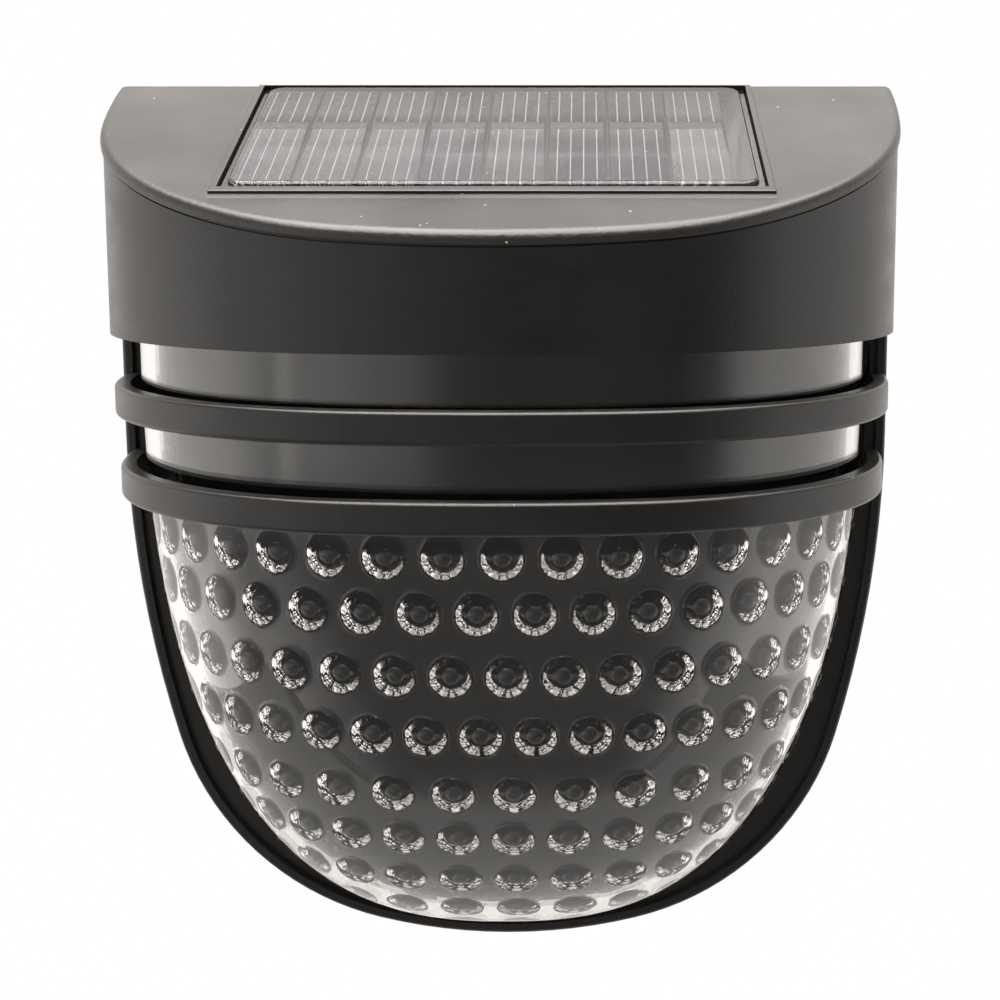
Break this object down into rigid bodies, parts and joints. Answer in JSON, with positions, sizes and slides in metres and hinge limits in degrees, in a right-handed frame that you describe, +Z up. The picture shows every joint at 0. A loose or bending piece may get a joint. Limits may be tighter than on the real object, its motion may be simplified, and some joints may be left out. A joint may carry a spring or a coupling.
{
  "type": "solar fence light",
  "caption": "Wall-hung solar lamp: sloping black cap with inset solar panel, guard hoops over a clear dimpled lens, flat back cover with keyhole and slide switch.",
  "frame": {"origin": "hanging point: top end of the keyhole slot, on the back plane", "axes": "+X to the right seen from the front, +Y into the wall, +Z up"},
  "size_m": [0.1006, 0.0495, 0.1131],
  "materials": {
    "black_abs": "fine matt black moulding, slightly satin",
    "black_abs_cover": "fine matt black moulding",
    "black_abs_back": "matt black moulding",
    "tray_abs": "matt dark moulding",
    "foam_tape": "white foam tape",
    "panel_board": "dark circuit laminate",
    "silicon": "blue-grey silicon with silver lines",
    "tinned_ribbon": "dull tinned copper",
    "clear_resin": "clear glossy resin",
    "clear_lens": "clear polished plastic",
    "seal_rubber": "soft black rubber",
    "switch_metal": "nickel plated sheet",
    "switch_knob": "matt black nylon",
    "tinned_pins": "tinned pins",
    "cell_steel": "nickel plated can",
    "cell_sleeve": "plain green shrink sleeve",
    "holder_plastic": "matt black",
    "spring_steel": "nickel plated spring steel",
    "lamp_board": "white solder mask",
    "led_white": "white package",
    "led_phosphor": "yellow phosphor",
    "chip_black": "black moulding compound",
    "ferrite": "dark ferrite",
    "screw_steel": "zinc plated",
    "wire_red": "red insulation",
    "wire_black": "black insulation"
  },
  "bodies": {
    "light": {"front_housing": "black_abs", "top_cover": "black_abs_cover", "back_cover": "black_abs_back", "lamp_tray": "tray_abs", "panel_adhesive": "foam_tape", "panel_board": "panel_board", "solar_cells": "silicon", "cell_ribbons": "tinned_ribbon", "panel_laminate": "clear_resin", "lens": "clear_lens", "lens_seal": "seal_rubber", "switch_case": "switch_metal", "switch_pins": "tinned_pins", "battery_cell": "cell_steel", "battery_wrap": "cell_sleeve", "battery_holder": "holder_plastic", "negative_contact": "spring_steel", "positive_contact": "spring_steel", "lamp_board": "lamp_board", "led_bodies": "led_white", "led_windows": "led_phosphor", "driver_chip": "chip_black", "inductor": "ferrite", "back_screws": "screw_steel", "tray_screws": "screw_steel", "lamp_screws": "screw_steel", "panel_wire_red": "wire_red", "panel_wire_black": "wire_black", "battery_wire_red": "wire_red", "battery_wire_black": "wire_black", "switch_wires": "wire_red"},
    "switch_knob": {"switch_slider": "switch_knob"}
  },
  "joints": [
    {"name": "switch_slide", "type": "slide", "parent": "light", "child": "switch_knob", "axis": [1, 0, 0], "range_m": [0, 0.002]}
  ]
}
